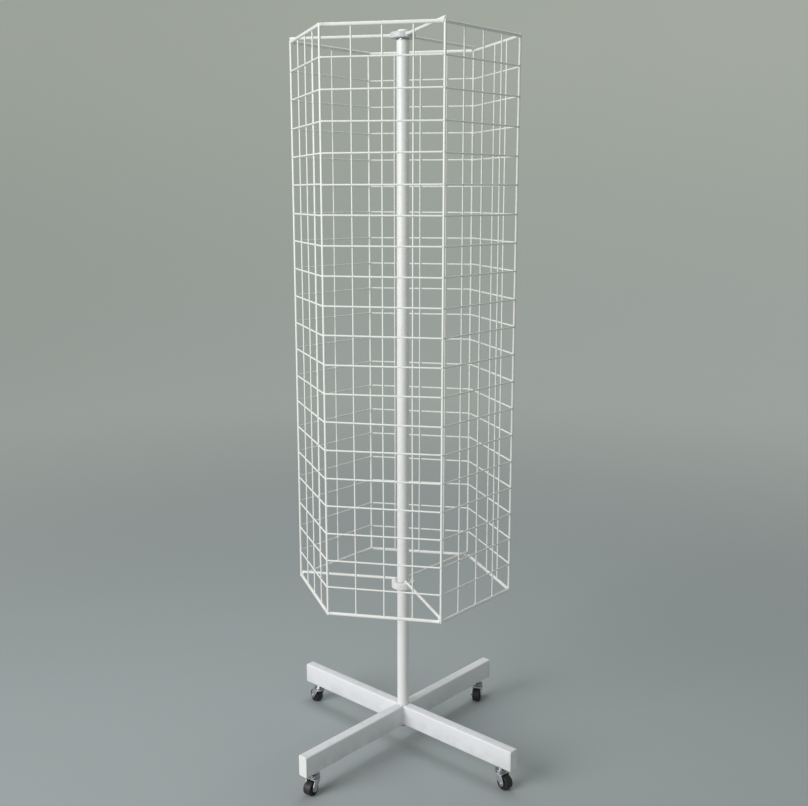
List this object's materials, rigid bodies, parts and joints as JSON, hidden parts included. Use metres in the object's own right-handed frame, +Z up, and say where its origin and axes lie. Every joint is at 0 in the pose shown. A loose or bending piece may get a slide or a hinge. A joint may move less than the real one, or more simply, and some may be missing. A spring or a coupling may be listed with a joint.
{
  "type": "rotating display rack",
  "caption": "Floor-standing display rack: a hexagonal welded wire-grid cage that turns freely on a fixed round pole, on a cross base of rectangular tube with swivel casters.",
  "frame": {"origin": "on the floor, on the axis of the pole and of the cage's turning", "axes": "+Z up along the pole, +X along the long leg, +Y along the short leg that carries the br caster"},
  "size_m": [0.8106, 0.8106, 2.0271],
  "materials": {
    "white_powder_coat": "satin white powder coat, fine orange peel",
    "hub_coat": "satin white powder coat over a turned hub, greyed by handling",
    "zinc_plate": "bright zinc plate",
    "bearing_steel": "ground bearing steel, lightly oiled",
    "wheel_black": "black moulded polypropylene wheel",
    "nylon": "natural nylon",
    "white_plastic": "moulded white plastic"
  },
  "bodies": {
    "base": {"leg_long": "white_powder_coat", "leg_short_back": "white_powder_coat", "leg_short_front": "white_powder_coat", "leg_cap_fr": "white_plastic", "leg_cap_br": "white_plastic", "leg_cap_bl": "white_plastic", "leg_cap_fl": "white_plastic", "pole": "white_powder_coat", "pole_foot_plug": "zinc_plate", "foot_washer": "zinc_plate", "foot_bolt": "zinc_plate", "pivot_plug": "bearing_steel", "thrust_race_lower": "bearing_steel", "thrust_ball_ring": "bearing_steel", "pivot_washer": "zinc_plate", "pivot_clip": "zinc_plate", "caster_stem_fr": "zinc_plate", "caster_stem_br": "zinc_plate", "caster_stem_bl": "zinc_plate", "caster_stem_fl": "zinc_plate"},
    "cage": {"panel_ab": "white_powder_coat", "panel_bc": "white_powder_coat", "panel_cd": "white_powder_coat", "panel_de": "white_powder_coat", "panel_ef": "white_powder_coat", "panel_fa": "white_powder_coat", "corner_post_a": "white_powder_coat", "corner_post_b": "white_powder_coat", "corner_post_c": "white_powder_coat", "corner_post_d": "white_powder_coat", "corner_post_e": "white_powder_coat", "corner_post_f": "white_powder_coat", "top_spoke_a": "white_powder_coat", "top_spoke_c": "white_powder_coat", "top_spoke_e": "white_powder_coat", "bottom_spoke_a": "white_powder_coat", "bottom_spoke_c": "white_powder_coat", "bottom_spoke_e": "white_powder_coat", "top_hub": "hub_coat", "thrust_race_upper": "bearing_steel", "pivot_cover": "white_plastic", "lower_hub": "hub_coat", "guide_bush": "nylon"},
    "caster_fr": {"caster_balls_fr": "bearing_steel", "caster_fork_fr": "zinc_plate", "caster_axle_fr": "zinc_plate"},
    "wheel_fr": {"caster_wheel_fr": "wheel_black"},
    "caster_br": {"caster_balls_br": "bearing_steel", "caster_fork_br": "zinc_plate", "caster_axle_br": "zinc_plate"},
    "wheel_br": {"caster_wheel_br": "wheel_black"},
    "caster_bl": {"caster_balls_bl": "bearing_steel", "caster_fork_bl": "zinc_plate", "caster_axle_bl": "zinc_plate"},
    "wheel_bl": {"caster_wheel_bl": "wheel_black"},
    "caster_fl": {"caster_balls_fl": "bearing_steel", "caster_fork_fl": "zinc_plate", "caster_axle_fl": "zinc_plate"},
    "wheel_fl": {"caster_wheel_fl": "wheel_black"}
  },
  "joints": [
    {"name": "cage_spin", "type": "hinge", "parent": "base", "child": "cage", "pos_m": [0, 0, 2.012], "axis": [0, 0, 1], "continuous": true},
    {"name": "swivel_fr", "type": "hinge", "parent": "base", "child": "caster_fr", "pos_m": [0.362, 0, 0.048], "axis": [0, 0, 1], "continuous": true},
    {"name": "wheel_spin_fr", "type": "hinge", "parent": "caster_fr", "child": "wheel_fr", "pos_m": [0.37883, -0.00237, 0.02], "axis": [0.1392, 0.9903, 0], "continuous": true},
    {"name": "swivel_br", "type": "hinge", "parent": "base", "child": "caster_br", "pos_m": [0, 0.362, 0.048], "axis": [0, 0, 1], "continuous": true},
    {"name": "wheel_spin_br", "type": "hinge", "parent": "caster_br", "child": "wheel_br", "pos_m": [0.00798, 0.34699, 0.02], "axis": [0.8829, 0.4695, 0], "continuous": true},
    {"name": "swivel_bl", "type": "hinge", "parent": "base", "child": "caster_bl", "pos_m": [-0.362, 0, 0.048], "axis": [0, 0, 1], "continuous": true},
    {"name": "wheel_spin_bl", "type": "hinge", "parent": "caster_bl", "child": "wheel_bl", "pos_m": [-0.37863, 0.00353, 0.02], "axis": [-0.2079, -0.9781, 0], "continuous": true},
    {"name": "swivel_fl", "type": "hinge", "parent": "base", "child": "caster_fl", "pos_m": [0, -0.362, 0.048], "axis": [0, 0, 1], "continuous": true},
    {"name": "wheel_spin_fl", "type": "hinge", "parent": "caster_fl", "child": "wheel_fl", "pos_m": [0.00237, -0.37883, 0.02], "axis": [0.9903, 0.1392, 0], "continuous": true}
  ]
}
